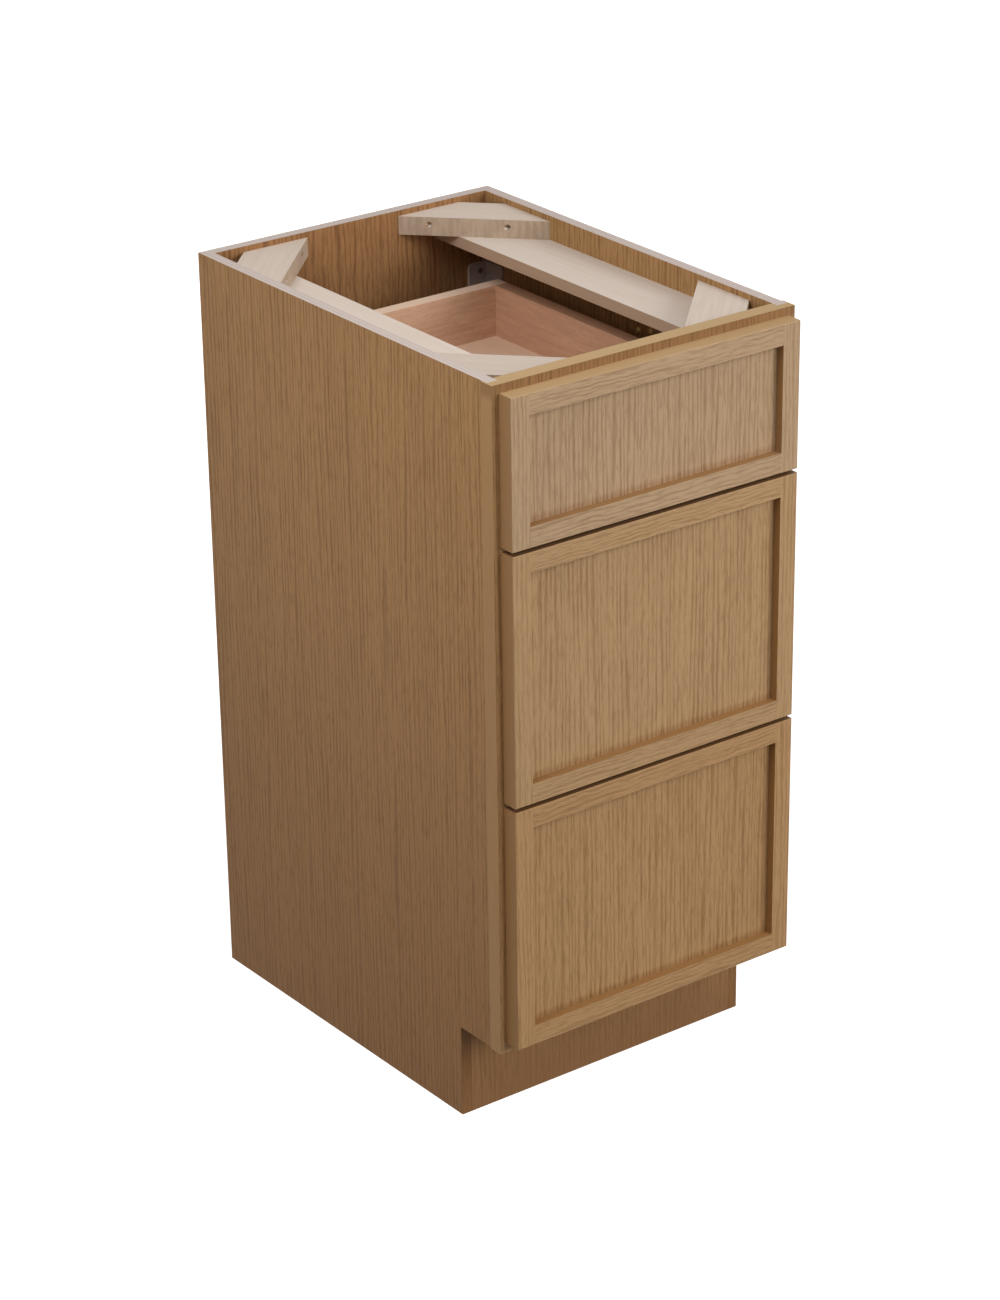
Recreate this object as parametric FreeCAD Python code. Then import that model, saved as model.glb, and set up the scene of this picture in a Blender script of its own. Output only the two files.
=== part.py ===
import FreeCAD, Part
import math
import os

# A drawer base vanity cabinet: a plywood carcass behind a solid face frame, and three
# drawers with slim five-piece fronts and dovetailed boxes on full-extension slides
# that run under the boxes. All lengths are in millimetres. X runs to the right, Y to
# the back and Z up, and the origin is on the floor under the middle of the cabinet.

# Overall sizes, fronts included
overall_width = 381.0
overall_depth = 533.4
overall_height = 838.2

# Plywood carcass
side_thickness = 12.7
back_thickness = 12.7
floor_thickness = 12.7
kick_thickness = 12.7
back_rabbet = 6.35
floor_groove = 6.35
toe_height = 106.0
toe_depth = 71.6

# Solid face frame, a little wider than the carcass behind it
frame_thickness = 18.0
frame_overhang = 1.83
stile_width = 38.1
top_rail_height = 38.1
middle_rail_height = 19.05
bottom_rail_height = 38.1
stile_groove = 8.0
frame_tenon_length = 12.0
frame_tenon_thickness = 6.0
frame_tenon_shoulder = 3.0

# Side cleats and the corner braces that lie on them
cleat_width = 69.85
cleat_thickness = 12.7
brace_length = 165.1
brace_width = 57.15
brace_thickness = 20.6
brace_drop = 6.35

# Screws of the corner braces, two in each, sunk in the long face
brace_screw_drop = 8.0
brace_screw_from_end = 33.0
brace_screw_spacing = 85.0
brace_screw_length = 30.0
brace_screw_bite = 9.0
brace_screw_radius = 1.9
brace_screw_head_radius = 2.7
brace_screw_head_height = 2.4
brace_screw_sink_radius = 3.0
brace_screw_clearance = 0.1

# Drawer fronts
front_thickness = 19.05
front_side_reveal = 8.35
front_top_reveal = 9.16
front_bottom_reveal = 10.45
front_gap = 4.4
top_front_height = 159.0
front_member_width = 22.0
front_panel_recess = 9.5
front_tongue_thickness = 6.35
front_groove_depth = 8.0
front_ease = 0.5

# Drawer boxes, in the openings of the face frame
box_side_gap = 5.0
box_floor_gap = 4.9
box_rear_gap = 60.65
top_box_headroom = 41.6
middle_box_headroom = 49.9
bottom_box_headroom = 29.1
box_wall = 15.9
box_bottom_recess = 12.7
box_bottom_thickness = 6.0
box_groove_depth = 6.0

# Half-blind dovetails at the corners of a box
tail_pitch = 25.4
tail_width = 12.4
tail_flare = 1.7
tail_lap = 4.8

# Undermount slides, bent from sheet
slide_sheet = 1.2
slide_width = 40.0
slide_channel_width = 17.8
slide_channel_height = 7.5
slide_channel_lip = 3.0
slide_flange_height = 12.0
slide_tab_length = 14.0
slide_rear_gap = 26.65
slide_end_gap = 3.0
travel_shortfall = 11.0
middle_flange_width = 10.0
middle_rail_inset = 2.0
middle_rail_rear_gap = 24.0

# Nylon glides clipped on the flanges of a middle rail
glide_length = 30.0
glide_clearance = 0.3
glide_end_margin = 5.0

# Hook at the rear end of a drawer rail, with a pin that enters the box's back
hook_width = 6.0
hook_rise = 9.4
hook_height = 12.5
hook_pin_radius = 2.4
hook_pin_length = 8.0
hook_pin_clearance = 0.3

# Notches in the box's back that let the slide pass
notch_clearance = 2.0

# Locking clips behind the box's front
clip_width = 20.0
clip_length = 42.0
clip_height = 8.6
clip_corner = 3.0
clip_lever_reach = 12.0
clip_lever_length = 26.0
clip_lever_thickness = 2.5

# Rear brackets, moulded angles in the rear corners of the carcass
bracket_back_width = 25.6
bracket_side_width = 32.2
bracket_height = 81.6
bracket_wall = 2.0
bracket_rim_height = 1.0
bracket_rim_width = 1.6
bracket_corner = 6.0
bracket_foot_height = 12.0
bracket_foot_depth = 8.0
bracket_tongue_reach = 14.0
bracket_tongue_clearance = 0.3

# Brass screws, one in each bracket and two in each side wall
brass_screw_radius = 1.9
brass_screw_head_radius = 3.2
brass_screw_head_height = 1.8
brass_screw_bite = 9.0
brass_screw_clearance = 0.1
bracket_screw_from_side = 10.0
bracket_screw_drop = 10.0
wall_screw_behind_frame = (193.5, 214.0)
wall_screw_below_top = (83.0, 87.2)

# One overrun serves every cut that must break through a face, and screws, pins and
# their holes are drawn with flat sides
overrun = 1.0
rod_sides = 12

# Planes of the cabinet that the pieces share
half_width = overall_width / 2
fronts_face = -overall_depth / 2
frame_face = fronts_face + front_thickness
frame_back = frame_face + frame_thickness
back_face = overall_depth / 2
inner_back = back_face - back_thickness
side_outer = half_width - frame_overhang
side_inner = side_outer - side_thickness
opening = half_width - stile_width
floor_top = toe_height + bottom_rail_height
floor_under = floor_top - floor_thickness
brace_top = overall_height - brace_drop
cleat_top = brace_top - brace_thickness

# Heights of the fronts, each as its bottom and top; the two lower fronts are alike
fronts_top = overall_height - front_top_reveal
fronts_bottom = toe_height + front_bottom_reveal
lower_front_height = (fronts_top - fronts_bottom - top_front_height - 2 * front_gap) / 2
top_front = (fronts_top - top_front_height, fronts_top)
bottom_front = (fronts_bottom, fronts_bottom + lower_front_height)
middle_front = (bottom_front[1] + front_gap, bottom_front[1] + front_gap + lower_front_height)

# Middle rails of the frame, centred on the gaps between the fronts
upper_rail_middle = (middle_front[1] + top_front[0]) / 2
lower_rail_middle = (bottom_front[1] + middle_front[0]) / 2
top_rail_span = (overall_height - top_rail_height, overall_height)
upper_rail_span = (upper_rail_middle - middle_rail_height / 2, upper_rail_middle + middle_rail_height / 2)
lower_rail_span = (lower_rail_middle - middle_rail_height / 2, lower_rail_middle + middle_rail_height / 2)
bottom_rail_span = (toe_height, floor_top)

# Each drawer: name, its front, the rail that carries its slides, the rail above, headroom
drawers = (
    ("top", top_front, upper_rail_span, top_rail_span, top_box_headroom),
    ("middle", middle_front, lower_rail_span, upper_rail_span, middle_box_headroom),
    ("bottom", bottom_front, bottom_rail_span, lower_rail_span, bottom_box_headroom),
)

# Planes along the slides, all at rest
box_front_inner = frame_face + box_wall
box_back = inner_back - box_rear_gap
box_length = box_back - frame_face
drawer_travel = box_length - travel_shortfall
rail_back = inner_back - slide_rear_gap
middle_rail_front = frame_back + slide_end_gap
middle_rail_back = rail_back - middle_rail_rear_gap
slide_height = box_floor_gap + box_bottom_recess


def block(x0, x1, y0, y1, z0, z1):
    return Part.makeBox(x1 - x0, y1 - y0, z1 - z0, FreeCAD.Vector(x0, y0, z0))


def prism(points, direction):
    face = Part.Face(Part.makePolygon(points + points[:1]))
    return face.extrude(direction)


def rod(radius, length, start, direction):
    # A level rod with flat sides, for screws, pins and the holes that they fill.
    up = FreeCAD.Vector(0, 0, 1)
    across = direction.cross(up)
    turn = 2 * math.pi / rod_sides
    points = [
        start + across * (radius * math.cos(index * turn)) + up * (radius * math.sin(index * turn))
        for index in range(rod_sides)
    ]
    return prism(points, direction * length)


def mirrored(shape):
    return shape.mirror(FreeCAD.Vector(0, 0, 0), FreeCAD.Vector(1, 0, 0))


def joined(shapes):
    whole = shapes[0].fuse(shapes[1:])
    return whole.removeSplitter()


def pair_all(shapes):
    return [mirrored(shape) for shape in shapes] + list(shapes)


def save(name, shapes):
    solids = [solid for shape in shapes for solid in shape.Solids]
    shape = solids[0] if len(solids) == 1 else Part.makeCompound(solids)
    shape.exportStep("parts/" + name + ".step")


# Carcass boards

def cabinet_floor():
    # The floor lies in grooves of the sides and the back, and its front tongue lies
    # on a rebate of the bottom rail.
    reach = side_inner + floor_groove
    board = block(-reach, reach, frame_back, inner_back + floor_groove, floor_under, floor_top)
    tongue = block(-opening, opening, frame_back - stile_groove, frame_back, floor_under, floor_top)
    return joined([board, tongue])


def back_panel(cutters):
    reach = side_inner + back_rabbet
    return block(-reach, reach, inner_back, back_face, 0, overall_height).cut(cutters)


def side_panel(cutters):
    # The right side: its front edge sits in the stile's groove and its lower front
    # corner is cut away for the toe space.
    front = frame_back - stile_groove
    toe_back = frame_face + toe_depth
    outline = [
        FreeCAD.Vector(side_inner, front, toe_height),
        FreeCAD.Vector(side_inner, front, overall_height),
        FreeCAD.Vector(side_inner, back_face, overall_height),
        FreeCAD.Vector(side_inner, back_face, 0),
        FreeCAD.Vector(side_inner, toe_back, 0),
        FreeCAD.Vector(side_inner, toe_back, toe_height),
    ]
    return prism(outline, FreeCAD.Vector(side_thickness, 0, 0)).cut(cutters)


def toe_kick_board():
    face = frame_face + toe_depth
    return block(-side_inner, side_inner, face, face + kick_thickness, 0, floor_under)


# Face frame

def frame_rail(span):
    # A rail between the stiles, with a tenon at each end.
    rail = block(-opening, opening, frame_face, frame_back, span[0], span[1])
    middle = (frame_face + frame_back) / 2
    reach = opening + frame_tenon_length
    tenon = block(
        -reach, reach,
        middle - frame_tenon_thickness / 2, middle + frame_tenon_thickness / 2,
        span[0] + frame_tenon_shoulder, span[1] - frame_tenon_shoulder,
    )
    return joined([rail, tenon])


def frame_stile(rails, side):
    stile = block(opening, half_width, frame_face, frame_back, toe_height, overall_height)
    return stile.cut(rails + [side])


# Cleats and corner braces

def side_cleat():
    return block(
        side_inner - cleat_width, side_inner,
        frame_back, inner_back,
        cleat_top - cleat_thickness, cleat_top,
    )


def brace_point(back, across, along, z):
    # A point in a right-hand corner: across runs from the side wall, along from the
    # back panel or from the face frame.
    y = inner_back - along if back else frame_back + along
    return FreeCAD.Vector(side_inner - across, y, z)


def brace_screws(back):
    # One screw runs at the back panel or the frame, the other at the side wall. Each
    # comes with the hole that it needs in the brace and in the board behind it.
    z = brace_top - brace_screw_drop
    leg = brace_length / math.sqrt(2)
    first = brace_screw_from_end / math.sqrt(2)
    second = first + brace_screw_spacing / math.sqrt(2)
    toward_end = FreeCAD.Vector(0, 1, 0) if back else FreeCAD.Vector(0, -1, 0)
    toward_side = FreeCAD.Vector(1, 0, 0)
    places = (
        (brace_point(back, leg - first, 0, z), toward_end, first),
        (brace_point(back, 0, second, z), toward_side, leg - second),
    )
    screws = []
    holes = []
    for wall_point, direction, cover in places:
        tip = wall_point + direction * brace_screw_bite
        seat = tip - direction * (brace_screw_length - brace_screw_head_height)
        shank = rod(brace_screw_radius, brace_screw_length - brace_screw_head_height, seat, direction)
        head = rod(brace_screw_head_radius, brace_screw_head_height, seat, direction * -1)
        screws.append(joined([shank, head]))
        bore = rod(
            brace_screw_radius + brace_screw_clearance,
            brace_screw_length - brace_screw_head_height, seat, direction,
        )
        sink = Part.makeCylinder(brace_screw_sink_radius, cover, seat, direction * -1)
        holes.append(bore.fuse(sink))
    return screws, holes


def corner_brace(back, holes):
    # A flat board across a right-hand corner, its ends cut at 45 degrees to meet the
    # side wall and the back panel or the face frame.
    z = cleat_top
    leg = brace_length / math.sqrt(2)
    short_leg = leg - brace_width * math.sqrt(2)
    outline = [
        brace_point(back, leg, 0, z),
        brace_point(back, 0, leg, z),
        brace_point(back, 0, short_leg, z),
        brace_point(back, short_leg, 0, z),
    ]
    return prism(outline, FreeCAD.Vector(0, 0, brace_thickness)).cut(holes)


# Drawer fronts

def front_parts(span):
    # Two stiles, two rails and a panel. The rails' tongues and the panel's rebated
    # edge fill the groove that runs along the inner edges.
    low, high = span
    right = half_width - front_side_reveal
    inner = right - front_member_width
    groove_front = fronts_face + front_panel_recess
    groove_back = groove_front + front_tongue_thickness
    rail_reach = inner + front_groove_depth
    panel_low = low + front_member_width
    panel_high = high - front_member_width

    tongue = block(
        -rail_reach, rail_reach, groove_front, groove_back,
        panel_low - front_groove_depth, panel_high + front_groove_depth,
    )
    field = block(-inner, inner, groove_front, frame_face, panel_low, panel_high)
    panel = joined([tongue, field])

    rails = []
    for rail_low, rail_high in ((panel_high, high), (low, panel_low)):
        body = block(-inner, inner, fronts_face, frame_face, rail_low, rail_high)
        ends = block(-rail_reach, rail_reach, groove_front, groove_back, rail_low, rail_high)
        rails.append(joined([body, ends]).cut(panel))

    stile = block(inner, right, fronts_face, frame_face, low, high)
    stile = stile.cut(rails + [panel])

    ease = eased_edges(right, low, high)
    return {
        "left_stile": mirrored(stile).cut(ease),
        "right_stile": stile.cut(ease),
        "top_rail": rails[0].cut(ease),
        "bottom_rail": rails[1].cut(ease),
        "panel": panel,
    }


def eased_edges(right, low, high):
    # Wedges that take the sharp corner off the four outer edges of a front's face.
    near = fronts_face - overrun
    far = fronts_face + front_ease + overrun
    beyond = front_ease + overrun
    upright = prism([
        FreeCAD.Vector(right - beyond, near, low - overrun),
        FreeCAD.Vector(right + overrun, near, low - overrun),
        FreeCAD.Vector(right + overrun, far, low - overrun),
    ], FreeCAD.Vector(0, 0, high - low + 2 * overrun))
    wedges = pair_all([upright])
    for edge, outward in ((low, -1), (high, 1)):
        wedges.append(prism([
            FreeCAD.Vector(-right - overrun, near, edge - outward * beyond),
            FreeCAD.Vector(-right - overrun, near, edge + outward * overrun),
            FreeCAD.Vector(-right - overrun, far, edge + outward * overrun),
        ], FreeCAD.Vector(2 * (right + overrun), 0, 0)))
    return wedges


# Drawer boxes

def tails(low, high, outer, shoulder, forward):
    # Tails at one end of a side board: they widen away from the shoulder, which is the
    # inner face of the board that they enter.
    count = int((high - low + tail_flare) / tail_pitch)
    margin = (high - low - count * tail_pitch) / 2
    tip = shoulder - forward * (box_wall - tail_lap)
    shapes = []
    for index in range(count):
        middle = low + margin + (index + 1 / 2) * tail_pitch
        outline = [
            FreeCAD.Vector(outer - box_wall, shoulder, middle - tail_width / 2),
            FreeCAD.Vector(outer - box_wall, tip, middle - tail_width / 2 - tail_flare),
            FreeCAD.Vector(outer - box_wall, tip, middle + tail_width / 2 + tail_flare),
            FreeCAD.Vector(outer - box_wall, shoulder, middle + tail_width / 2),
        ]
        shapes.append(prism(outline, FreeCAD.Vector(box_wall, 0, 0)))
    return shapes


def box_parts(base, top):
    # Front, back, two sides and a bottom. The sides' tails enter the front and the
    # back, and the bottom lies in a groove of all four.
    low = base + box_floor_gap
    outer = opening - box_side_gap
    inner = outer - box_wall
    back_inner = box_back - box_wall
    side = joined(
        [block(inner, outer, box_front_inner, back_inner, low, top)]
        + tails(low, top, outer, box_front_inner, 1)
        + tails(low, top, outer, back_inner, -1)
    )
    bottom = block(
        -inner - box_groove_depth, inner + box_groove_depth,
        box_front_inner - box_groove_depth, back_inner + box_groove_depth,
        low + box_bottom_recess, low + box_bottom_recess + box_bottom_thickness,
    )
    sides = pair_all([side])
    front = block(-outer, outer, frame_face, box_front_inner, low, top).cut(sides + [bottom])
    back = block(-outer, outer, back_inner, box_back, low, top).cut(sides + [bottom])
    notch = block(
        opening - slide_width - notch_clearance, inner,
        back_inner - overrun, box_back + overrun,
        low - overrun, low + box_bottom_recess,
    )
    hook_hole = rod(
        hook_pin_radius + hook_pin_clearance, hook_pin_length + hook_pin_clearance,
        hook_pin_end(base) + FreeCAD.Vector(0, hook_pin_length, 0), FreeCAD.Vector(0, -1, 0),
    )
    back = back.cut(pair_all([notch, hook_hole]))
    side = side.cut(bottom)
    return {
        "front": front,
        "back": back,
        "left_side": mirrored(side),
        "right_side": side,
        "bottom": bottom,
    }


# Slides

def slide_point(inward, y, z):
    # A point of a right-hand slide, measured inward from the edge of the opening.
    return FreeCAD.Vector(opening - inward, y, z)


def section(points, y0, y1, base):
    outline = [slide_point(inward, y0, base + up) for inward, up in points]
    return prism(outline, FreeCAD.Vector(0, y1 - y0, 0))


def channel_lines():
    outer = slide_width - slide_channel_width
    return outer, outer + slide_sheet, slide_width - slide_sheet, slide_width


def cabinet_rail(base):
    # Fixed rail: a flange against the stile, a base on the frame's rail, and a channel
    # with lips that holds the lower glides. Its base runs on over the frame's rail.
    left, left_wall, right_wall, right = channel_lines()
    top = slide_channel_height
    under_lip = top - slide_sheet
    profile = [
        (0, slide_flange_height), (0, 0), (right, 0), (right, top),
        (right_wall - slide_channel_lip, top), (right_wall - slide_channel_lip, under_lip),
        (right_wall, under_lip), (right_wall, slide_sheet),
        (left_wall, slide_sheet), (left_wall, under_lip),
        (left_wall + slide_channel_lip, under_lip), (left_wall + slide_channel_lip, top),
        (left, top), (left, slide_sheet),
        (slide_sheet, slide_sheet), (slide_sheet, slide_flange_height),
    ]
    tab_profile = [
        (0, slide_flange_height), (0, 0), (right, 0), (right, slide_sheet),
        (slide_sheet, slide_sheet), (slide_sheet, slide_flange_height),
    ]
    channel = section(profile, frame_back, rail_back, base)
    tab = section(tab_profile, frame_back - slide_tab_length, frame_back, base)
    return joined([channel, tab])


def hook_pin_end(base):
    # Front end of the pin that the hook holds in the box's back.
    middle = slide_width - slide_channel_width / 2
    return slide_point(middle, box_back - hook_pin_length, base + slide_height + hook_rise)


def drawer_rail(base):
    # Moving rail: the same channel upside down under the box's bottom, with a hook
    # behind the box's back.
    left, left_wall, right_wall, right = channel_lines()
    top = slide_height
    low = top - slide_channel_height
    over_lip = low + slide_sheet
    profile = [
        (left, top), (left, low), (left_wall + slide_channel_lip, low),
        (left_wall + slide_channel_lip, over_lip), (left_wall, over_lip),
        (left_wall, top - slide_sheet), (right_wall, top - slide_sheet),
        (right_wall, over_lip), (right_wall - slide_channel_lip, over_lip),
        (right_wall - slide_channel_lip, low), (right, low), (right, top),
    ]
    rail = section(profile, box_front_inner, box_back, base)
    middle = (left + right) / 2
    hook_profile = [
        (middle - hook_width / 2, top - slide_sheet),
        (middle + hook_width / 2, top - slide_sheet),
        (middle + hook_width / 2, top + hook_height),
        (middle - hook_width / 2, top + hook_height),
    ]
    hook = section(hook_profile, box_back, box_back + slide_sheet, base)
    pin = rod(hook_pin_radius, hook_pin_length + slide_sheet, hook_pin_end(base), FreeCAD.Vector(0, 1, 0))
    return joined([rail, hook, pin])


def middle_rail_lines():
    middle = slide_width - slide_channel_width / 2
    low = slide_sheet + middle_rail_inset
    return middle, low, slide_height - low


def middle_rail(base):
    # An I section that runs at half the drawer's travel.
    middle, low, high = middle_rail_lines()
    wide = middle_flange_width / 2
    thin = slide_sheet / 2
    profile = [
        (middle - wide, low), (middle + wide, low), (middle + wide, low + slide_sheet),
        (middle + thin, low + slide_sheet), (middle + thin, high - slide_sheet),
        (middle + wide, high - slide_sheet), (middle + wide, high),
        (middle - wide, high), (middle - wide, high - slide_sheet),
        (middle - thin, high - slide_sheet), (middle - thin, low + slide_sheet),
        (middle - wide, low + slide_sheet),
    ]
    return section(profile, middle_rail_front, middle_rail_back, base)


def glide(base, centre, lower):
    # A block that wraps one flange of the middle rail and fills the channel around it.
    middle, low = middle_rail_lines()[:2]
    wide = middle_flange_width / 2
    thin = slide_sheet / 2
    half = slide_channel_width / 2 - slide_sheet - glide_clearance
    shell_low = slide_sheet + glide_clearance
    shell_high = slide_channel_height - slide_sheet - glide_clearance
    flange_high = low + slide_sheet
    profile = [
        (middle - half, shell_low), (middle + half, shell_low), (middle + half, shell_high),
        (middle + thin, shell_high), (middle + thin, flange_high),
        (middle + wide, flange_high), (middle + wide, low),
        (middle - wide, low), (middle - wide, flange_high),
        (middle - thin, flange_high), (middle - thin, shell_high), (middle - half, shell_high),
    ]
    if not lower:
        profile = [(inward, slide_height - up) for inward, up in profile]
    return section(profile, centre - glide_length / 2, centre + glide_length / 2, base)


def glides(base):
    # Two lower glides that stay in the cabinet rail, and two upper glides that stay in
    # the drawer rail, also with the drawer fully out.
    reach = glide_end_margin + glide_length / 2
    half_travel = drawer_travel / 2
    lower = (frame_back + half_travel + reach, middle_rail_back - reach)
    upper = (middle_rail_front + reach, box_back - half_travel - reach)
    return [glide(base, centre, True) for centre in lower] + [glide(base, centre, False) for centre in upper]


def locking_clip(base):
    # A moulded catch beside the drawer rail, under the box's bottom, with its lever.
    top = base + slide_height
    near = opening - slide_width
    body = block(
        near - clip_width, near, box_front_inner, box_front_inner + clip_length,
        top - clip_height, top,
    )
    corner_edges = [
        edge for edge in body.Edges
        if edge.BoundBox.ZLength > clip_height / 2 and edge.BoundBox.YMin > box_front_inner
    ]
    body = body.makeFillet(clip_corner, corner_edges)
    lever_start = box_front_inner + (clip_length - clip_lever_length) / 2
    lever = block(
        near - clip_width - clip_lever_reach, near - clip_width / 2,
        lever_start, lever_start + clip_lever_length,
        top - clip_height, top - clip_height + clip_lever_thickness,
    )
    return joined([body, lever])


# Rear brackets

def bracket_wing(width, base):
    # One plate of the angle in the XZ plane, its outer face on Y zero and its corner
    # edge on X zero, with a raised rim along the free edges.
    def outline(inset, start, thickness):
        corner = bracket_corner - inset
        right = width - inset
        top = base + bracket_height - inset
        plate = block(0, right, start, start + thickness, base, top)
        free_corner = [
            edge for edge in plate.Edges
            if edge.BoundBox.YLength > thickness / 2
            and edge.BoundBox.XMin > right / 2 and edge.BoundBox.ZMin > (base + top) / 2
        ]
        return plate.makeFillet(corner, free_corner)

    plate = outline(0, 0, bracket_wall + bracket_rim_height)
    field = outline(bracket_rim_width, bracket_wall, bracket_rim_height + overrun)
    return plate.cut(field)


def rear_bracket(base, holes):
    # The angle in a right-hand rear corner, with a foot along the back panel and a
    # tongue that enters the open rear end of the cabinet rail.
    back_wing = bracket_wing(bracket_back_width, base)
    back_wing.rotate(FreeCAD.Vector(0, 0, 0), FreeCAD.Vector(0, 0, 1), 180)
    back_wing.translate(FreeCAD.Vector(side_inner, inner_back, 0))
    side_wing = mirrored(bracket_wing(bracket_side_width, base))
    side_wing.rotate(FreeCAD.Vector(0, 0, 0), FreeCAD.Vector(0, 0, 1), 90)
    side_wing.translate(FreeCAD.Vector(side_inner, inner_back, 0))
    walls = channel_lines()
    near = opening - walls[1] - bracket_tongue_clearance
    far = opening - walls[2] + bracket_tongue_clearance
    foot = block(
        far, side_inner, inner_back - bracket_foot_depth, inner_back,
        base, base + bracket_foot_height,
    )
    tongue = block(
        far, near, rail_back - bracket_tongue_reach, inner_back,
        base + slide_sheet, base + slide_channel_height - slide_sheet - bracket_tongue_clearance,
    )
    return joined([back_wing, side_wing, foot, tongue]).cut(holes)


# Brass screws

def brass_screw(seat, direction, grip):
    # A screw with its head's flat face on the seat, and the clear hole for its shank.
    length = grip + brass_screw_bite
    shank = rod(brass_screw_radius, length, seat, direction)
    head = rod(brass_screw_head_radius, brass_screw_head_height, seat, direction * -1)
    hole = rod(brass_screw_radius + brass_screw_clearance, length, seat, direction)
    return joined([shank, head]), hole


def bracket_screw(base):
    seat = FreeCAD.Vector(
        side_inner - bracket_screw_from_side,
        inner_back - bracket_wall,
        base + bracket_height - bracket_screw_drop,
    )
    return brass_screw(seat, FreeCAD.Vector(0, 1, 0), bracket_wall)


def wall_screws():
    places = zip(wall_screw_behind_frame, wall_screw_below_top)
    return [
        brass_screw(
            FreeCAD.Vector(side_inner, frame_back + behind, overall_height - below),
            FreeCAD.Vector(1, 0, 0), 0,
        )
        for behind, below in places
    ]


# The whole cabinet

def build():
    os.makedirs("parts", exist_ok=True)
    bases = [carrier[1] for name, front, carrier, above, headroom in drawers]

    brace_sets = [(back,) + brace_screws(back) for back in (True, False)]
    brace_holes = [hole for back, screws, holes in brace_sets for hole in holes]
    bracket_sets = [bracket_screw(base) for base in bases]
    wall_sets = wall_screws()
    floor = cabinet_floor()
    bracket_holes = [hole for screw, hole in bracket_sets]
    wall_holes = [hole for screw, hole in wall_sets]

    back = back_panel([floor] + pair_all(brace_holes + bracket_holes))
    side = side_panel([back, floor] + brace_holes + wall_holes)
    save("right_side_panel", [side])
    save("left_side_panel", [mirrored(side)])
    save("back_panel", [back])
    save("bottom_panel", [floor])
    save("toe_kick_board", [toe_kick_board()])

    rail_spans = (
        ("frame_top_rail", top_rail_span),
        ("frame_upper_middle_rail", upper_rail_span),
        ("frame_lower_middle_rail", lower_rail_span),
        ("frame_bottom_rail", bottom_rail_span),
    )
    rails = [frame_rail(span) for name, span in rail_spans]
    stile = frame_stile(rails, side)
    save("frame_right_stile", [stile])
    save("frame_left_stile", [mirrored(stile)])
    for (name, span), rail in zip(rail_spans, rails):
        save(name, [rail.cut([floor] + pair_all(brace_holes))])

    save("side_cleats", pair_all([side_cleat()]))
    for back_corner, screws, holes in brace_sets:
        name = "back_corner_braces" if back_corner else "front_corner_braces"
        save(name, pair_all([corner_brace(back_corner, holes)]))
    all_brace_screws = [screw for back_corner, screws, holes in brace_sets for screw in screws]
    save("corner_brace_screws", pair_all(all_brace_screws))
    brackets = [rear_bracket(base, [hole]) for base, hole in zip(bases, bracket_holes)]
    save("rear_slide_brackets", pair_all(brackets))
    save("brass_screws", pair_all([screw for screw, hole in bracket_sets + wall_sets]))
    save("cabinet_rails", pair_all([cabinet_rail(base) for base in bases]))

    for name, front, carrier, above, headroom in drawers:
        base = carrier[1]
        for piece, shape in front_parts(front).items():
            save(name + "_front_" + piece, [shape])
        for piece, shape in box_parts(base, above[0] - headroom).items():
            save(name + "_box_" + piece, [shape])
        save(name + "_locking_clips", pair_all([locking_clip(base)]))
        save(name + "_drawer_rails", pair_all([drawer_rail(base)]))
        save(name + "_middle_rails", pair_all([middle_rail(base)]))
        save(name + "_slide_glides", pair_all(glides(base)))
    print("travel of a drawer", drawer_travel)


build()
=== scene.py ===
import math

import bmesh
import bpy
from mathutils import Matrix, Vector


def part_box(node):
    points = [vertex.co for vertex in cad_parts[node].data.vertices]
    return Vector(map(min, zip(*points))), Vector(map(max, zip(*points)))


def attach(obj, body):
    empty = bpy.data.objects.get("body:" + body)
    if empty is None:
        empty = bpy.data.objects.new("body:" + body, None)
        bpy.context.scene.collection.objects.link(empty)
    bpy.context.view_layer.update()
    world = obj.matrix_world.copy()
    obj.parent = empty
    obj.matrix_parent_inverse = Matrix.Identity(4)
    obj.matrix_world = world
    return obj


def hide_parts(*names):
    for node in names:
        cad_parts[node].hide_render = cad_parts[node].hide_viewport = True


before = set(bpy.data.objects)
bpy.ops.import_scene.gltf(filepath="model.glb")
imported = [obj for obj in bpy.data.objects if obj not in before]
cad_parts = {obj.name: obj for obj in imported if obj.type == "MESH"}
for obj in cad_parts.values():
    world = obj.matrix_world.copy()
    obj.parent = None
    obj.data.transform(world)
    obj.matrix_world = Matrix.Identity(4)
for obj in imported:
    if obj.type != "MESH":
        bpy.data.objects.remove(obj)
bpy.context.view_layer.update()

# The camera
# It stands 3.8 m away, off the cabinet's left front corner and above its top, and looks
# down on it, so that the left side, the fronts and the open top are all seen.
photo_camera = bpy.data.objects.new("photo_camera", bpy.data.cameras.new("photo_camera"))
photo_camera.location = (-2.2525, -3.0311, 2.1075)
photo_camera.rotation_euler = (math.radians(64.313), 0, math.radians(-38.39))
photo_camera.data.lens = 106.89
photo_camera.data.shift_x = -0.0844
photo_camera.data.shift_y = 0.0858
bpy.context.scene.collection.objects.link(photo_camera)
bpy.context.scene.camera = photo_camera
bpy.context.scene.view_settings.view_transform = "Standard"


# The sides, the back and the floor of the cabinet
# Half-inch plywood with an oak veneer on both faces, its grain upright, stained light
# brown and lacquered. The saw leaves the pale plies bare on every edge.
def tint(red, green, blue):
    linear = [((c / 255 + 0.055) / 1.055) ** 2.4 for c in (red, green, blue)]
    return (*linear, 1.0)


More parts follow.
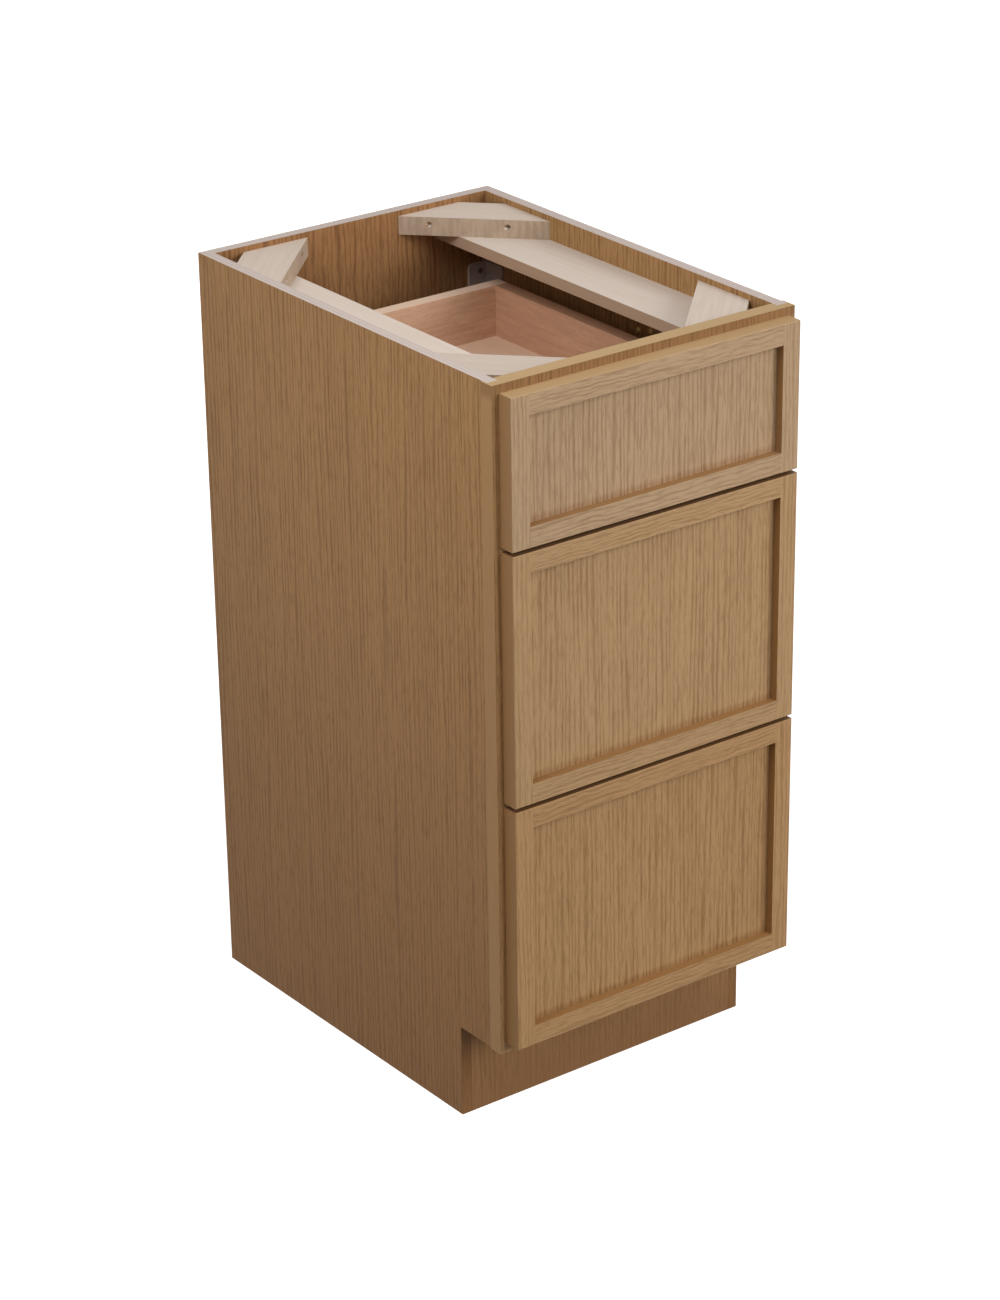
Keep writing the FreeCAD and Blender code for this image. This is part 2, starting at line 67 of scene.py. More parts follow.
class Shade:
    """A socket of a material. Sums with it add the Math nodes that work them out."""

    def __init__(self, tree, socket=None):
        self.tree = tree
        self.socket = socket

    def node(self, kind, settings, sockets, output=0):
        made = self.tree.nodes.new(kind)
        for name, value in settings.items():
            setattr(made, name, value)
        for name, value in sockets.items():
            if isinstance(value, Shade):
                self.tree.links.new(value.socket, made.inputs[name])
            else:
                made.inputs[name].default_value = value
        return Shade(self.tree, made.outputs[output] if len(made.outputs) else None)

    def math(self, operation, first, second=0.0):
        return self.node("ShaderNodeMath", {"operation": operation}, {0: first, 1: second})

    def __add__(self, other):
        return self.math("ADD", self, other)

    def __sub__(self, other):
        return self.math("SUBTRACT", self, other)

    def __mul__(self, other):
        return self.math("MULTIPLY", self, other)

    def __rsub__(self, other):
        return self.math("SUBTRACT", other, self)

    def __abs__(self):
        return self.math("ABSOLUTE", self)

    __radd__ = __add__
    __rmul__ = __mul__


def start_finish(name):
    material = bpy.data.materials.new(name)
    material.use_nodes = True
    material.node_tree.nodes.clear()
    shade = Shade(material.node_tree)
    place = shade.node("ShaderNodeTexCoord", {}, {}, "Object")
    return material, shade, place


def end_finish(shade, colour, roughness, height, depth, **constants):
    bump = shade.node("ShaderNodeBump", {}, {"Height": height, "Distance": depth})
    sockets = {"Base Color": colour, "Roughness": roughness, "Normal": bump}
    sockets["Specular IOR Level"] = 0.15
    sockets.update(constants)
    surface = shade.node("ShaderNodeBsdfPrincipled", {}, sockets)
    shade.node("ShaderNodeOutputMaterial", {}, {"Surface": surface})


side_to_side, front_to_back, upright = 0, 1, 2


def part_along(shade, vector, axis):
    """One of the three numbers of a place or a direction."""
    return shade.node("ShaderNodeSeparateXYZ", {}, {0: vector}, axis)


def turned(shade, axis):
    """How far the surface faces along an axis: 1, 0 on an edge, or -1 the other way."""
    return part_along(shade, shade.node("ShaderNodeTexCoord", {}, {}, "Normal"), axis)


def facing(shade, axis):
    """How squarely the surface faces along an axis: 1 on a face, 0 on an edge."""
    return abs(turned(shade, axis))


def noise(shade, place, scale, detail=2.0, roughness=0.5, shift=(0, 0, 0), output=0):
    """Noise with its own scale, in cells to the metre, along x, y and z."""
    where = shade.node(
        "ShaderNodeVectorMath", {"operation": "MULTIPLY_ADD"}, {0: place, 1: scale, 2: shift}
    )
    sockets = {"Vector": where, "Scale": 1.0, "Detail": detail, "Roughness": roughness}
    return shade.node("ShaderNodeTexNoise", {}, sockets, output)


def between(shade, value, low, high):
    """0 below low, 1 above high, and a smooth rise between them."""
    settings = {"interpolation_type": "SMOOTHSTEP", "clamp": True}
    return shade.node("ShaderNodeMapRange", settings, {0: value, 1: low, 2: high})


def mix(shade, amount, first, second):
    settings = {"data_type": "RGBA", "clamp_factor": True}
    return shade.node("ShaderNodeMix", settings, {0: amount, 6: first, 7: second}, 2)


def along(grain, across, lengthwise):
    """A scale that is fine across the grain and long with it."""
    return tuple(lengthwise if axis == grain else across for axis in range(3))


def oak_grain(shade, place, grain, cut, waver, run, spacing):
    """Growth lines, pores and slow drift of oak, for one cut of the log.

    waver is how far the lines stray to the side and spacing how far they lie apart, in
    metres. run is how many times they change to the metre.
    """
    shift = (cut * 3.17, cut * 5.43, cut * 1.71)
    sway = noise(shade, place, along(grain, 16, run), 2.0, 0.55, shift, "Color")
    subtract, multiply_add = {"operation": "SUBTRACT"}, {"operation": "MULTIPLY_ADD"}
    sway = shade.node("ShaderNodeVectorMath", subtract, {0: sway, 1: (0.5, 0.5, 0.5)})
    reach = tuple(0.0 if axis == grain else waver for axis in range(3))
    bent = shade.node("ShaderNodeVectorMath", multiply_add, {0: sway, 1: reach, 2: place})
    first, second = [part_along(shade, bent, axis) for axis in range(3) if axis != grain]
    wander = noise(shade, bent, along(grain, 45, 2), 2.0, 0.5, shift)
    turns = (first + second) * (math.tau / spacing) + wander * 22
    comb = shade.math("SINE", turns) * 0.5 + 0.5
    broken = noise(shade, bent, along(grain, 0.9 / spacing, 16), 2.0, 0.6, shift)
    pores = noise(shade, bent, along(grain, 520, 60), 2.0, 0.5, shift)
    drift = noise(shade, bent, along(grain, 30, 3), 2.0, 0.5, shift)
    figure = noise(shade, bent, along(grain, 70, 7), 2.0, 0.5, shift)
    lines = between(shade, comb * 0.55 + broken, 0.70, 1.16)
    lines = lines * (0.55 + between(shade, figure, 0.26, 0.62) * 0.45)
    return lines, between(shade, pores, 0.48, 0.66), drift


def oak_colour(shade, lines, pores, drift, light, dark, depth):
    """Light wood with darker growth lines and pores; depth sets how strong they are."""
    wood = mix(shade, lines * (0.72 * depth), light, dark)
    wood = mix(shade, pores * (0.38 * depth), wood, dark)
    shadow = tuple(c * 0.86 for c in dark[:3]) + (1.0,)
    return mix(shade, between(shade, drift, 0.3, 0.8) * (0.16 * depth), wood, shadow)


ply_count, panel_thickness, veneer_lines = 5, 0.0127, 0.0066


def oak_plywood(
    name, thick, outside, cut, light, dark, depth,
    grain=upright, waver=0.002, run=8, foot=None,
):
    """Veneered plywood: thick is the axis through the panel, outside one face's place.

    foot is painted shade: a darker tone towards the floor, and the heights where it is full
    and gone.
    """
    material, shade, place = start_finish(name)
    # Painted shade: the tone darkens towards the floor.
    if foot:
        rise = part_along(shade, place, upright)
        painted_foot_tone, full, gone = foot
        light = mix(shade, between(shade, rise, full, gone), painted_foot_tone, light)
    lines, pores, drift = oak_grain(shade, place, grain, cut, waver, run, veneer_lines)
    veneer = oak_colour(shade, lines, pores, drift, light, dark, depth)
    through = part_along(shade, place, thick)
    plies = abs(through - outside) * (ply_count / panel_thickness)
    turn = shade.math("PINGPONG", plies, 1.0)
    seam = 1 - between(shade, turn, 0.05, 0.25)
    fibre = noise(shade, place, (500, 500, 500), 2.0)
    core = mix(shade, fibre * 0.35, tint(204, 190, 181), tint(178, 161, 151))
    core = mix(shade, seam * 0.45, core, tint(146, 128, 124))
    stained = between(shade, turned(shade, front_to_back) * -1, 0.4, 0.6)
    flat = between(shade, facing(shade, thick), 0.4, 0.6)
    veneer = mix(shade, stained * (1 - flat) * 0.6, veneer, tint(128, 88, 52))
    face = shade.math("MAXIMUM", flat, stained)
    colour = mix(shade, face, core, veneer)
    rough = 0.68 - face * 0.2 + pores * 0.1
    end_finish(shade, colour, rough, lines * -0.3 + pores * -0.6, 0.0003)
    return material


def dress(material, *names):
    for name in names:
        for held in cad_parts[name].material_slots:
            held.material = material


oak_light = tint(180, 139, 92)
oak_dark = tint(134, 93, 53)
side_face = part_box("left_side_panel")[0].x
dress(
    oak_plywood(
        "oak_left_side", side_to_side, side_face, 1.0, tint(185, 140, 91),
        tint(126, 85, 48), 0.82,
        # Painted shade: darker towards the floor.
        foot=(tint(163, 117, 71), -0.1, 0.7),
    ),
    "left_side_panel",
)
dress(
    oak_plywood(
        "oak_right_side", side_to_side, -side_face, 2.0, oak_light,
        tint(120, 80, 44), 0.82,
        # Painted shade: darker towards the floor.
        foot=(tint(159, 115, 69), -0.1, 0.32),
    ),
    "right_side_panel",
)
back_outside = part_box("back_panel")[1].y
dress(
    oak_plywood(
        "oak_back", front_to_back, back_outside, 3.0, tint(156, 114, 74),
        tint(98, 63, 35), 0.8, waver=0.007, run=16,
    ),
    "back_panel",
)
floor_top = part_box("bottom_panel")[1].z
dress(
    oak_plywood(
        "oak_floor", upright, floor_top, 4.0, oak_light, oak_dark, 0.8, front_to_back,
    ),
    "bottom_panel",
)


# The toe-kick board
# A strip of the same oak plywood, set back under the lowest front for the toes. Its
# ends stop against the sides and are stained with them.
toe_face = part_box("toe_kick_board")[0].y
dress(
    oak_plywood(
        "oak_toe_kick", front_to_back, toe_face, 5.0, tint(181, 134, 88),
        tint(134, 94, 57), 0.7,
        # Painted light: paler towards the top, against the shade of the overhanging fronts.
        foot=(tint(150, 109, 71), 0.01, 0.075),
    ),
    "toe_kick_board",
)


# The face frame
# Solid oak, planed and sanded, tenoned and glued together before it is glued to the
# sides. The sanded edges take the stain as a plain golden tone with little grain.
golden_edge = tint(174, 142, 99)
plain_edge = tint(160, 118, 75)
# Painted shade, for edges that face down and for the top edges of the lower fronts in the
# gaps.
shaded_edge = tint(97, 61, 32)


def oak_board(
    name, grain, cut, light, dark, depth, top_edge=golden_edge, side_edge=plain_edge,
    plain=0.8, painted_light_below=None, **lines_run,
):
    """Solid oak. plain is how much its edges hide their grain.

    The paler tone and height that it may be given are painted light: the face is lighter
    below that height, where the drawer fronts shade it.
    """
    material, shade, place = start_finish(name)
    # Painted light below the height, where the fronts shade the face.
    if painted_light_below:
        rise = part_along(shade, place, upright)
        tone, top = painted_light_below
        light = mix(shade, between(shade, rise, top - 0.01, top + 0.002), tone, light)
    run = {"waver": 0.003, "run": 12, "spacing": 0.0055, **lines_run}
    lines, pores, drift = oak_grain(shade, place, grain, cut, **run)
    front = between(shade, facing(shade, front_to_back), 0.3, 0.8)
    strength = 0.25 + front * 0.75
    colour = oak_colour(shade, lines * strength, pores * strength, drift, light, dark, depth)
    upward = turned(shade, upright)
    edge = mix(shade, between(shade, upward, 0.4, 0.8), side_edge, top_edge)
    # Painted shade on downward-facing edges.
    edge = mix(shade, between(shade, upward * -1, 0.4, 0.8), edge, shaded_edge)
    edge = mix(shade, 1 - plain, edge, colour)
    colour = mix(shade, front, edge, colour)
    height = (lines * -0.3 + pores * -0.6) * strength
    end_finish(shade, colour, 0.46 + pores * 0.1, height, 0.0003)
    return material


rail_light, rail_dark = tint(151, 113, 74), tint(106, 72, 42)
front_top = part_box("top_front_top_rail")[1].z
# The stiles get painted light beside the fronts, where the fronts shade them.
for cut, name in enumerate(("frame_left_stile", "frame_right_stile")):
    wood = oak_board(
        "oak_" + name, upright, 6.0 + cut, rail_light, rail_dark, 0.6,
        tint(200, 170, 120), tint(170, 126, 80), 0.5, (tint(198, 156, 108), front_top),
    )
    dress(wood, name)
top_rail_edge = tint(184, 152, 106)
dress(
    oak_board(
        "oak_frame_top_rail", upright, 8.0, rail_light, rail_dark, 0.75, top_rail_edge,
    ),
    "frame_top_rail",
)
for cut, name in enumerate(("upper_middle_rail", "lower_middle_rail", "bottom_rail")):
    wood = oak_board(
        "oak_frame_" + name, side_to_side, 9.0 + cut, rail_light, rail_dark, 0.9,
    )
    dress(wood, "frame_" + name)


# The cleats and the corner braces
# Unfinished pale hardwood, planed but not sanded. The cleats lie along the side walls;
# the braces lie on them across the corners, their ends cut at 45 degrees.
def pale_colour(shade, place, grain_scale, shift):
    streaks = noise(shade, place, grain_scale, 3.0, 0.6, shift)
    cloud = noise(shade, place, (9, 9, 9), 2.0, 0.5, shift)
    streaked = between(shade, streaks, 0.35, 0.75)
    clouded = between(shade, cloud, 0.4, 0.8) * 0.25
    wood = mix(shade, streaked, tint(212, 196, 182), tint(203, 186, 170))
    return mix(shade, clouded, wood, tint(196, 176, 156)), streaks


def pale_cleat(name):
    material, shade, place = start_finish(name)
    colour, streaks = pale_colour(shade, place, (260, 8, 260), (2.0, 0, 5.0))
    side = between(shade, facing(shade, side_to_side), 0.4, 0.8)
    # Painted light: the cleats are lifted paler against the shade of the side walls.
    colour = mix(shade, 0.3, colour, tint(226, 213, 202))
    colour = mix(shade, side * 0.75, colour, tint(174, 142, 111))
    end_finish(shade, colour, 0.62 + streaks * 0.1, streaks, 0.0002)
    return material


diagonal = math.sqrt(0.5)


def pale_brace(name, turn, cut, dull):
    """The grain lies with the long cut face, which runs at 45 degrees to the walls.

    dull is how much greyer the left board of the pair is than the right one.
    """
    material, shade, place = start_finish(name)
    aside, back, rise = [part_along(shade, place, axis) for axis in range(3)]
    out = abs(aside)
    lengthwise = (back + out * turn) * diagonal
    across = (back - out * turn) * diagonal
    shift = shade.math("SIGN", aside) * 0.7
    board = shade.node(
        "ShaderNodeCombineXYZ", {}, {0: lengthwise + shift, 1: across, 2: rise}
    )
    colour, streaks = pale_colour(shade, board, (9, 230, 230), (cut, 0, cut))
    figure = noise(shade, board, (210, 60, 45), 3.0, 0.6, (0, cut, 0))
    sawn = 1 - between(shade, facing(shade, upright), 0.3, 0.7)
    figured = between(shade, figure, 0.36, 0.66)
    mottled = mix(shade, figured, tint(179, 157, 135), tint(162, 141, 118))
    colour = mix(shade, sawn * 0.9, colour, mottled)
    left = between(shade, aside * -1, -0.01, 0.01)
    colour = mix(shade, left * dull, colour, tint(168, 152, 138))
    end_finish(shade, colour, 0.62 + streaks * 0.1, streaks + figure * sawn, 0.0002)
    return material


dress(pale_cleat("pale_cleat"), "side_cleats")
dress(pale_brace("pale_back_brace", -1, 1.0, 0.1), "back_corner_braces")
dress(pale_brace("pale_front_brace", 1, 4.0, 0.3), "front_corner_braces")


# The screws of the corner braces, of the rear brackets and of the side walls
# Plated steel with a cross recess, dulled by dust. Brass ones are sunk in the braces, square
# to the wall or frame behind, and painted paler as painted light in their holes, and others
# sit on the side walls; zinc ones hold the brackets and are painted dark as painted shade.
def metal(name, light, dark, rough, spangle, depth, bare=1.0):
    """Plated sheet or wire: dull crystals that differ a little in tone and shine.

    bare is how much of the metal shows through dust.
    """
    material, shade, place = start_finish(name)
    crystals = shade.node(
        "ShaderNodeTexVoronoi", {"feature": "F1"},
        {"Vector": place, "Scale": spangle, "Randomness": 1.0}, "Color",
    )
    tone = shade.node("ShaderNodeSeparateColor", {}, {0: crystals}, 0)
    brushed = noise(shade, place, (1800, 40, 1800), 2.0)
    colour = mix(shade, tone * 0.5 + brushed * 0.4, light, dark)
    shine = {"Metallic": bare, "Specular IOR Level": 0.5}
    end_finish(shade, colour, rough + tone * 0.08 + brushed * 0.1, brushed, depth, **shine)
    return material


def plating(name, light, dark, rough, bare=1.0):
    """The thin plating of a small screw, whose crystals are too fine to tell apart."""
    return metal(name, light, dark, rough, 900, 0.00002, bare)


def circle(mesh, radius, rise, count):
    points = []
    for step in range(count):
        angle = math.tau * step / count
        x, y = radius * math.cos(angle), radius * math.sin(angle)
        points.append(mesh.verts.new((x, y, rise)))
    return points


def steps_round(loop):
    """Each point of a closed loop with the next one."""
    return list(zip(loop, loop[1:] + loop[:1]))


def band(mesh, lower, upper):
    """A band of faces between two loops with as many points."""
    for below, above in zip(steps_round(lower), steps_round(upper)):
        mesh.faces.new((below[0], below[1], above[1], above[0]))


def flat_between(mesh, outer, inner):
    edges = [
        mesh.edges.get(step) or mesh.edges.new(step)
        for loop in (outer, inner)
        for step in steps_round(loop)
    ]
    bmesh.ops.triangle_fill(mesh, edges=edges, use_beauty=True)


def threaded_screw(mesh, matrix, radius, height, sink):
    """A low domed head with a cross recess, and a threaded shank below it."""
    dome = ((0.99, 0.0), (1.0, 0.3), (0.92, 0.62), (0.74, 0.9), (0.6, 1.0))
    head = [circle(mesh, radius * out, height * up, 24) for out, up in dome]
    for lower, upper in zip(head, head[1:]):
        band(mesh, lower, upper)

    arm, slot, pit_taper = radius * 0.46, radius * 0.11, 0.7
    cross = []
    for quarter in range(4):
        turn = Matrix.Rotation(quarter * math.pi / 2, 2)
        cross += [turn @ Vector(point) for point in ((arm, -slot), (arm, slot), (slot, slot))]
    brim = [mesh.verts.new((p.x, p.y, height)) for p in cross]
    pit = [mesh.verts.new((p.x * pit_taper, p.y * pit_taper, height - sink)) for p in cross]
    band(mesh, brim, pit)
    mesh.faces.new(pit)
    flat_between(mesh, head[-1], brim)

    grip, collar, plain, thread, tip = radius * 0.58, 0.004, 0.0045, 0.0011, 0.001
    outline = [(grip, 0.0), (grip, -collar), (grip * 0.8, -plain)]
    for turn in range(5):
        top = -plain - turn * thread
        outline += [(grip, top - thread * 0.5), (grip * 0.75, top - thread)]
    outline.append((grip * 0.2, outline[-1][1] - tip))
    shank = [circle(mesh, out, rise, 12) for out, rise in outline]
    for upper, lower in zip(shank, shank[1:]):
        band(mesh, lower, upper)
    mesh.faces.new(shank[-1])
    flat_between(mesh, head[0], shank[0])

    made = [point for ring in head + shank for point in ring] + brim + pit
    bmesh.ops.transform(mesh, matrix=matrix, verts=made)


def screws(name, places, radius, height, sink):
    """Screws at places, each a seat point and the way that its head faces."""
    mesh = bmesh.new()
    for seat, outward in places:
        turn = Vector(outward).to_track_quat("Z", "Y").to_matrix().to_4x4()
        threaded_screw(mesh, Matrix.Translation(seat) @ turn, radius, height, sink)
    bmesh.ops.recalc_face_normals(mesh, faces=mesh.faces)
    data = bpy.data.meshes.new(name)
    mesh.to_mesh(data)
    mesh.free()
    piece = bpy.data.objects.new(name, data)
    bpy.context.scene.collection.objects.link(piece)
    for face in data.polygons:
        face.use_smooth = False
    return piece


wall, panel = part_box("side_cleats")[1].x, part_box("back_panel")[0].y
brace_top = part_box("back_corner_braces")[1].z
frame_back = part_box("front_corner_braces")[0].y
brace_length, brace_screw_drop = 0.1651, 0.008
brace_screw_from_end, brace_screw_spacing = 0.033, 0.085
brace_shank, brace_screw_bite = 0.0276, 0.009
seat_from_wall = brace_shank - brace_screw_bite
near = brace_screw_from_end * diagonal
far = (brace_screw_from_end + brace_screw_spacing) * diagonal
height = brace_top - brace_screw_drop
brace_places = []
for side in (-1, 1):
    for forward, corner in ((-1, panel), (1, frame_back)):
        near_x = side * (wall - brace_length * diagonal + near)
        near_seat = (near_x, corner + forward * seat_from_wall, height)
        far_seat = (side * (wall - seat_from_wall), corner + forward * far, height)
        brace_places.append((near_seat, (0, forward, 0)))
        brace_places.append((far_seat, (-side, 0, 0)))
brace_screws = screws(
    "brace_screws", brace_places, radius=0.0027, height=0.0022, sink=0.0014
)
# Dulled by dust, and paler as painted light against the shade of the sunk holes.
dust_and_painted_light_brass = plating(
    "dust_and_painted_light_brass_plate", tint(216, 192, 160), tint(190, 164, 130), 0.8, bare=0.1
)
brace_screws.data.materials.append(dust_and_painted_light_brass)
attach(brace_screws, "carcass")
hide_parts("corner_brace_screws")

slide_bases, bracket_screw_rise = (0.1441, 0.4006, 0.6774), 0.0716
from_wall, plate_thickness = 0.010, 0.002
bracket_plate = panel - plate_thickness
bracket_places = [
    ((side * (wall - from_wall), bracket_plate, base + bracket_screw_rise), (0, -1, 0))
    for base in slide_bases
    for side in (-1, 1)
]
wall_places = [
    ((side * wall, frame_back + behind, height), (-side, 0, 0))
    for behind, height in ((0.1935, 0.7552), (0.2140, 0.7510))
    for side in (-1, 1)
]
# Painted shade: the bracket screws are dark because they sit in shade.
painted_shade_zinc = plating(
    "painted_shade_zinc_plate", tint(118, 108, 102), tint(96, 86, 81), 0.7, bare=0.3
)
dull_brass = plating(
    "dull_brass_plate", tint(240, 208, 136), tint(206, 172, 106), 0.5, bare=0.3
)
for name, places, finish, slot in (
    ("bracket_screws", bracket_places, painted_shade_zinc, "zinc_steel"),
    ("wall_screws", wall_places, dull_brass, "brass"),
):
    piece = screws(name, places, radius=0.0032, height=0.0018, sink=0.0012)
    piece.data.materials.append(finish)
    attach(piece, "carcass")
    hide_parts("brass_screws")


# The slides
# Roll-formed galvanised steel: a rail on each cabinet wall, a middle rail that carries
# half the travel, and a rail under each side of the drawer, with nylon blocks between.
galvanised = metal(
    "galvanised_sheet", tint(190, 193, 196), tint(148, 151, 156), 0.36, 160, 0.00003
)
drawers = ("top", "middle", "bottom")
dress(galvanised, "cabinet_rails")
for drawer in drawers:
    dress(galvanised, drawer + "_middle_rails", drawer + "_drawer_rails")


def plastic(name, light, dark, rough, grit):
    """Moulded plastic with the fine stipple of its mould."""
    material, shade, place = start_finish(name)
    stipple = noise(shade, place, (grit, grit, grit), 3.0, 0.6)
    cloud = noise(shade, place, (30, 30, 30), 2.0)
    darker = between(shade, cloud, 0.3, 0.7) * 0.5 + stipple * 0.3
    colour = mix(shade, darker, light, dark)
    shine = {"Specular IOR Level": 0.5}
    end_finish(shade, colour, rough + stipple * 0.1, stipple, 0.00006, **shine)
    return material


nylon = plastic("white_nylon", tint(226, 224, 216), tint(205, 203, 194), 0.4, 900)
for drawer in drawers:
    dress(nylon, drawer + "_slide_glides")


# The rear brackets and the locking clips
# Moulded grey plastic. A bracket is screwed to the back panel and holds the rear end of
# a cabinet rail; a clip under the drawer's front corner grips the drawer rail.
dress(
    plastic("bracket_plastic", tint(197, 180, 174), tint(169, 155, 149), 0.6, 700),
    "rear_slide_brackets",
)
clip_grey = plastic("clip_plastic", tint(140, 142, 146), tint(118, 120, 124), 0.42, 700)
for drawer in drawers:
    dress(clip_grey, drawer + "_locking_clips")


# The drawer boxes
# Steamed beech, dovetailed at all four corners, with a thin beech plywood bottom let
# into a groove. Clear lacquer keeps the wood's pink tone.
def beech(name, grain, cut, light, dark, top_edge):
    material, shade, place = start_finish(name)
    shift = (cut * 2.3, cut * 4.1, cut * 1.3)
    streaks = noise(shade, place, along(grain, 240, 14), 3.0, 0.65, shift)
    flecks = noise(shade, place, along(grain, 1000, 170), 2.0, 0.5, shift)
    cloud = noise(shade, place, along(grain, 60, 9), 3.0, 0.6, shift)
    wood = mix(shade, between(shade, streaks, 0.35, 0.7) * 0.42, light, dark)
    wood = mix(shade, between(shade, flecks, 0.52, 0.68) * 0.4, wood, dark)
    wood = mix(shade, between(shade, cloud, 0.38, 0.66) * 0.3, wood, dark)
    # Upward faces take top_edge: painted light on the rims of the box ends, painted shade on
    # the rims of the box sides.
    top = between(shade, facing(shade, upright), 0.4, 0.8)
    wood = mix(shade, top * 0.75, wood, top_edge)
    end_finish(shade, wood, 0.46 + flecks * 0.1, streaks + flecks * 0.6, 0.00015)
    return material


beech_dark = tint(180, 137, 112)
# Painted light on the ends' rims, painted shade on the sides' rims in the shade of the
# cleats.
end_tone, painted_light_end_edge = tint(216, 180, 151), tint(232, 206, 184)
side_tone, painted_shade_side_rim = tint(206, 166, 137), tint(172, 134, 106)
bottom_tone = tint(223, 191, 165)
for cut, drawer in enumerate(drawers):
    for part, grain, tone, edge in (
        ("front", side_to_side, end_tone, painted_light_end_edge),
        ("back", side_to_side, end_tone, painted_light_end_edge),
        ("left_side", front_to_back, side_tone, painted_shade_side_rim),
        ("right_side", front_to_back, side_tone, painted_shade_side_rim),
    ):
        node = drawer + "_box_" + part
        dress(beech("beech_" + node, grain, cut + 0.37 * grain, tone, beech_dark, edge), node)
    node = drawer + "_box_bottom"
    wood = beech(
        "beech_" + node, front_to_back, cut + 5.0, bottom_tone, beech_dark, bottom_tone
    )
    dress(wood, node)


# The drawer fronts
# Each is a slim oak frame round a recessed oak-veneered panel. The rails' grain lies
# level and wavy, the stiles' and the panel's stands upright.
def veneered_panel(name, cut, foot, light, dark, depth):
    """Upright veneer with painted shade: its lines and tone darken just over the foot."""
    material, shade, place = start_finish(name)
    lines, pores, drift = oak_grain(shade, place, upright, cut, 0.002, 8, 0.0062)
    rise = part_along(shade, place, upright)
    # Painted shade just over the foot, in the corner of the recess.
    painted_foot_shade = 1 - between(shade, rise, foot + 0.001, foot + 0.010)
    strength = 1 + painted_foot_shade * 0.8
    lines_here, pores_here = lines * strength, pores * strength
    colour = oak_colour(shade, lines_here, pores_here, drift, light, dark, depth)
    colour = mix(shade, painted_foot_shade * 0.45, colour, dark)
    end_finish(shade, colour, 0.44 + pores * 0.1, lines * -0.3 + pores * -0.6, 0.0003)
    return material


# Painted light: the fronts are paler and pinker the higher they stand, for the light that
# falls off downwards and the sheen on the top one.
painted_light_front_tones = (
    ("top", tint(190, 159, 125), tint(143, 108, 77)),
    ("middle", tint(187, 151, 110), tint(138, 101, 64)),
    ("bottom", tint(186, 146, 102), tint(134, 96, 58)),
)
recess_edge = tint(154, 112, 64)
for cut, (drawer, light, dark) in enumerate(painted_light_front_tones):
    front = drawer + "_front_"
    # Painted shade on the top edges of the lower fronts, in the gaps under the fronts above.
    top_edge = golden_edge if drawer == "top" else shaded_edge
    for part, place_in_log, side_edge in (
        ("left_stile", 12.0, plain_edge), ("right_stile", 13.0, recess_edge),
    ):
        node = front + part
        wood = oak_board(
            "oak_" + node, upright, place_in_log + 3 * cut, light, dark, 0.6,
            top_edge, side_edge,
        )
        dress(wood, node)
    for part, place_in_log, edge in (
        ("top_rail", 24.0, top_edge), ("bottom_rail", 25.0, recess_edge),
    ):
        node = front + part
        wood = oak_board(
            "oak_" + node, side_to_side, place_in_log + 3 * cut, light, dark, 0.7, edge,
            waver=0.007, run=20, spacing=0.005,
        )
        dress(wood, node)
    node = front + "panel"
    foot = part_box(front + "bottom_rail")[1].z
    dress(veneered_panel("oak_" + node, 40.0 + cut, foot, light, dark, 0.8), node)


# The screws that hold the fronts
# Four zinc-plated screws in each drawer, driven from inside the box through its front
# board into the stiles of the drawer front.
zinc = plating("zinc_plate", tint(186, 186, 188), tint(140, 141, 145), 0.36)
in_from_side, over_bottom, under_rim = 0.045, 0.016, 0.018
for drawer in drawers:
    low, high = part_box(drawer + "_box_front")
    bottom_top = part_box(drawer + "_box_bottom")[1].z
    places = [
        ((x, high.y, z), (0, 1, 0))
        for x in (low.x + in_from_side, high.x - in_from_side)
        for z in (bottom_top + over_bottom, high.z - under_rim)
    ]
    holding = screws(
        drawer + "_front_screws", places, radius=0.0045, height=0.0022, sink=0.0014
    )
    holding.data.materials.append(zinc)
    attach(holding, drawer + "_drawer")


# The studio
# A wide pale floor that runs out of sight, a large soft light right of the camera, small
# ones over the open top, high and low on the left and behind, and a white surround.
def seen_rays(shade):
    """1 where the camera, a reflection or a clear piece looks, and 0 for light itself."""
    camera, glossy, clear = [
        shade.node("ShaderNodeLightPath", {}, {}, ray)
        for ray in ("Is Camera Ray", "Is Glossy Ray", "Is Transmission Ray")
    ]
    return shade.math("MAXIMUM", shade.math("MAXIMUM", camera, glossy), clear)


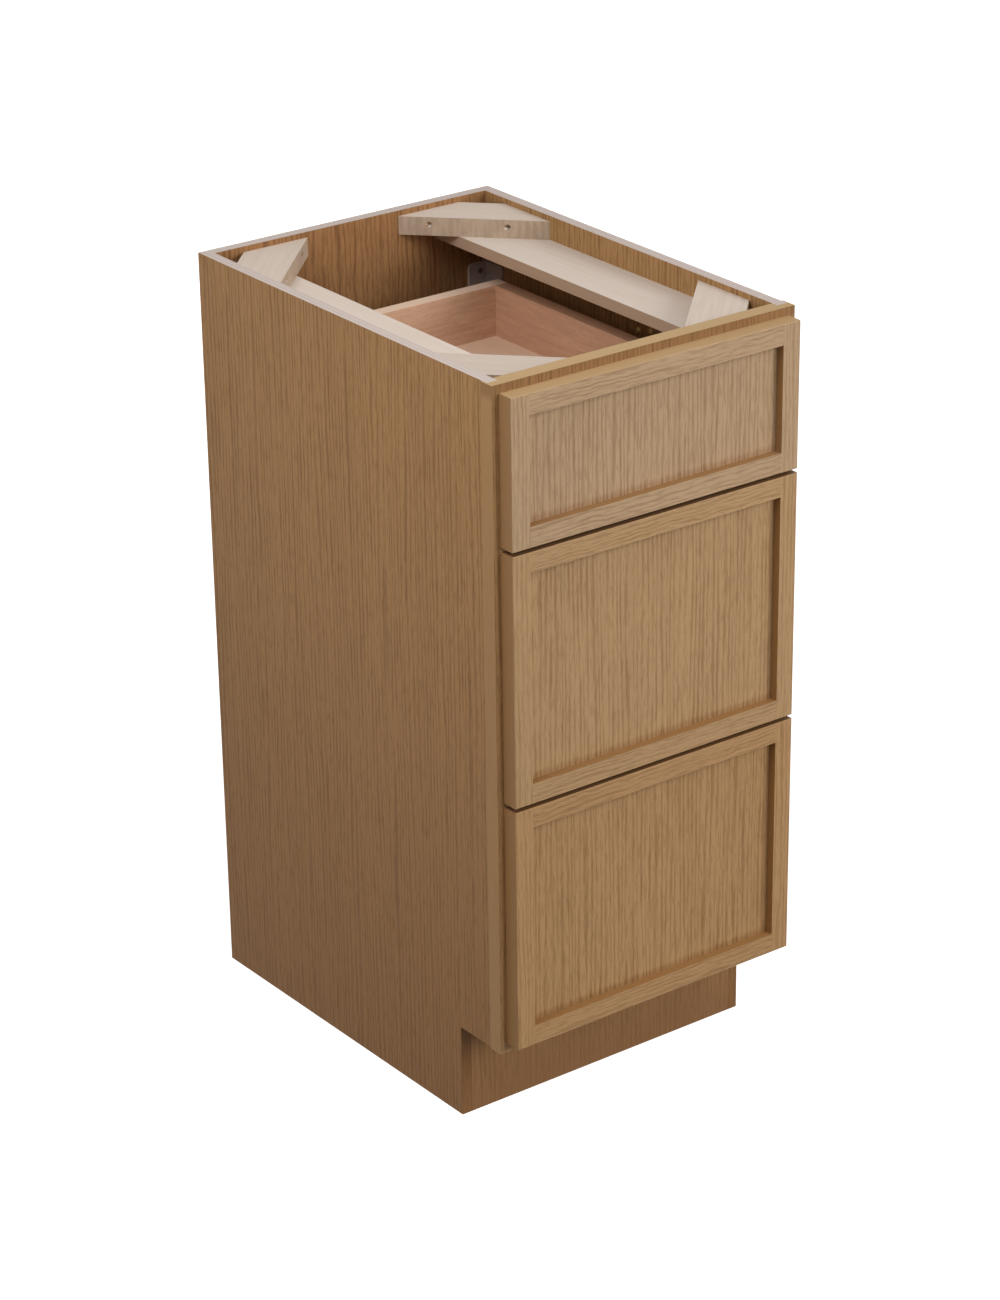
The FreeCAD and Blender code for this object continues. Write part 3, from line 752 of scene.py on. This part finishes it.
floor_mesh = bpy.data.meshes.new("studio_floor")
reach = 30.0
corners = ((-reach, -reach, 0), (reach, -reach, 0), (reach, reach, 0), (-reach, reach, 0))
floor_mesh.from_pydata(corners, [], [(0, 1, 2, 3)])
studio_floor = bpy.data.objects.new("studio_floor", floor_mesh)
bpy.context.scene.collection.objects.link(studio_floor)
material, shade, place = start_finish("pale_floor")
seen = seen_rays(shade)
grit = noise(shade, place, (40, 40, 40), 2.0)
pale = mix(shade, grit, tint(228, 228, 228), tint(232, 232, 232))
lit = mix(shade, seen, tint(56, 53, 48), pale)
matt = shade.node("ShaderNodeBsdfDiffuse", {}, {"Color": lit})
paper_white, black, floor_glow = (1, 1, 1, 1), (0, 0, 0, 1), 0.74
glow = shade.node("ShaderNodeEmission", {}, {"Color": paper_white, "Strength": floor_glow})
no_glow = shade.node("ShaderNodeEmission", {}, {"Color": black, "Strength": 0.0})
lift = shade.node("ShaderNodeMixShader", {}, {0: seen, 1: no_glow, 2: glow})
surface = shade.node("ShaderNodeAddShader", {}, {0: matt, 1: lift})
shade.node("ShaderNodeOutputMaterial", {}, {"Surface": surface})
studio_floor.data.materials.append(material)

world = bpy.data.worlds.new("studio_air")
world.use_nodes = True
world.node_tree.nodes.clear()
bpy.context.scene.world = world
shade = Shade(world.node_tree)
seen = seen_rays(shade)
room_light = 0.34
soft = shade.node("ShaderNodeBackground", {}, {"Color": paper_white, "Strength": room_light})
white = shade.node("ShaderNodeBackground", {}, {"Color": paper_white, "Strength": 1.0})
both = shade.node("ShaderNodeMixShader", {}, {0: seen, 1: soft, 2: white})
shade.node("ShaderNodeOutputWorld", {}, {"Surface": both})


def softbox(name, place, aim, width, power, spread=180):
    """A square lamp of width metres and power watts that shines towards aim."""
    lamp = bpy.data.objects.new(name, bpy.data.lights.new(name, "AREA"))
    lamp.data.shape = "SQUARE"
    lamp.data.size = width
    lamp.data.energy = power
    lamp.data.spread = math.radians(spread)
    lamp.location = place
    away = Vector(place) - Vector(aim)
    lamp.rotation_euler = away.to_track_quat("Z", "Y").to_euler()
    lamp.visible_camera = False
    bpy.context.scene.collection.objects.link(lamp)


softbox("front_light", (1.2, -2.9, 1.85), aim=(0, 0, 0.45), width=2.2, power=77)
softbox("top_light", (1.2, 0.0, 2.4), aim=(0, 0, 0.8), width=1.2, power=3.5)
softbox("back_light", (0.3, 3.2, 0.7), aim=(0, 0, 0.42), width=1.2, power=30)
softbox("left_light", (-0.85, -0.25, 1.95), aim=(0, 0, 0.7), width=0.7, power=4.4, spread=120)
softbox("low_left_light", (-2.0, -0.3, 0.85), aim=(0, -0.1, 0.6), width=0.5, power=5.3)
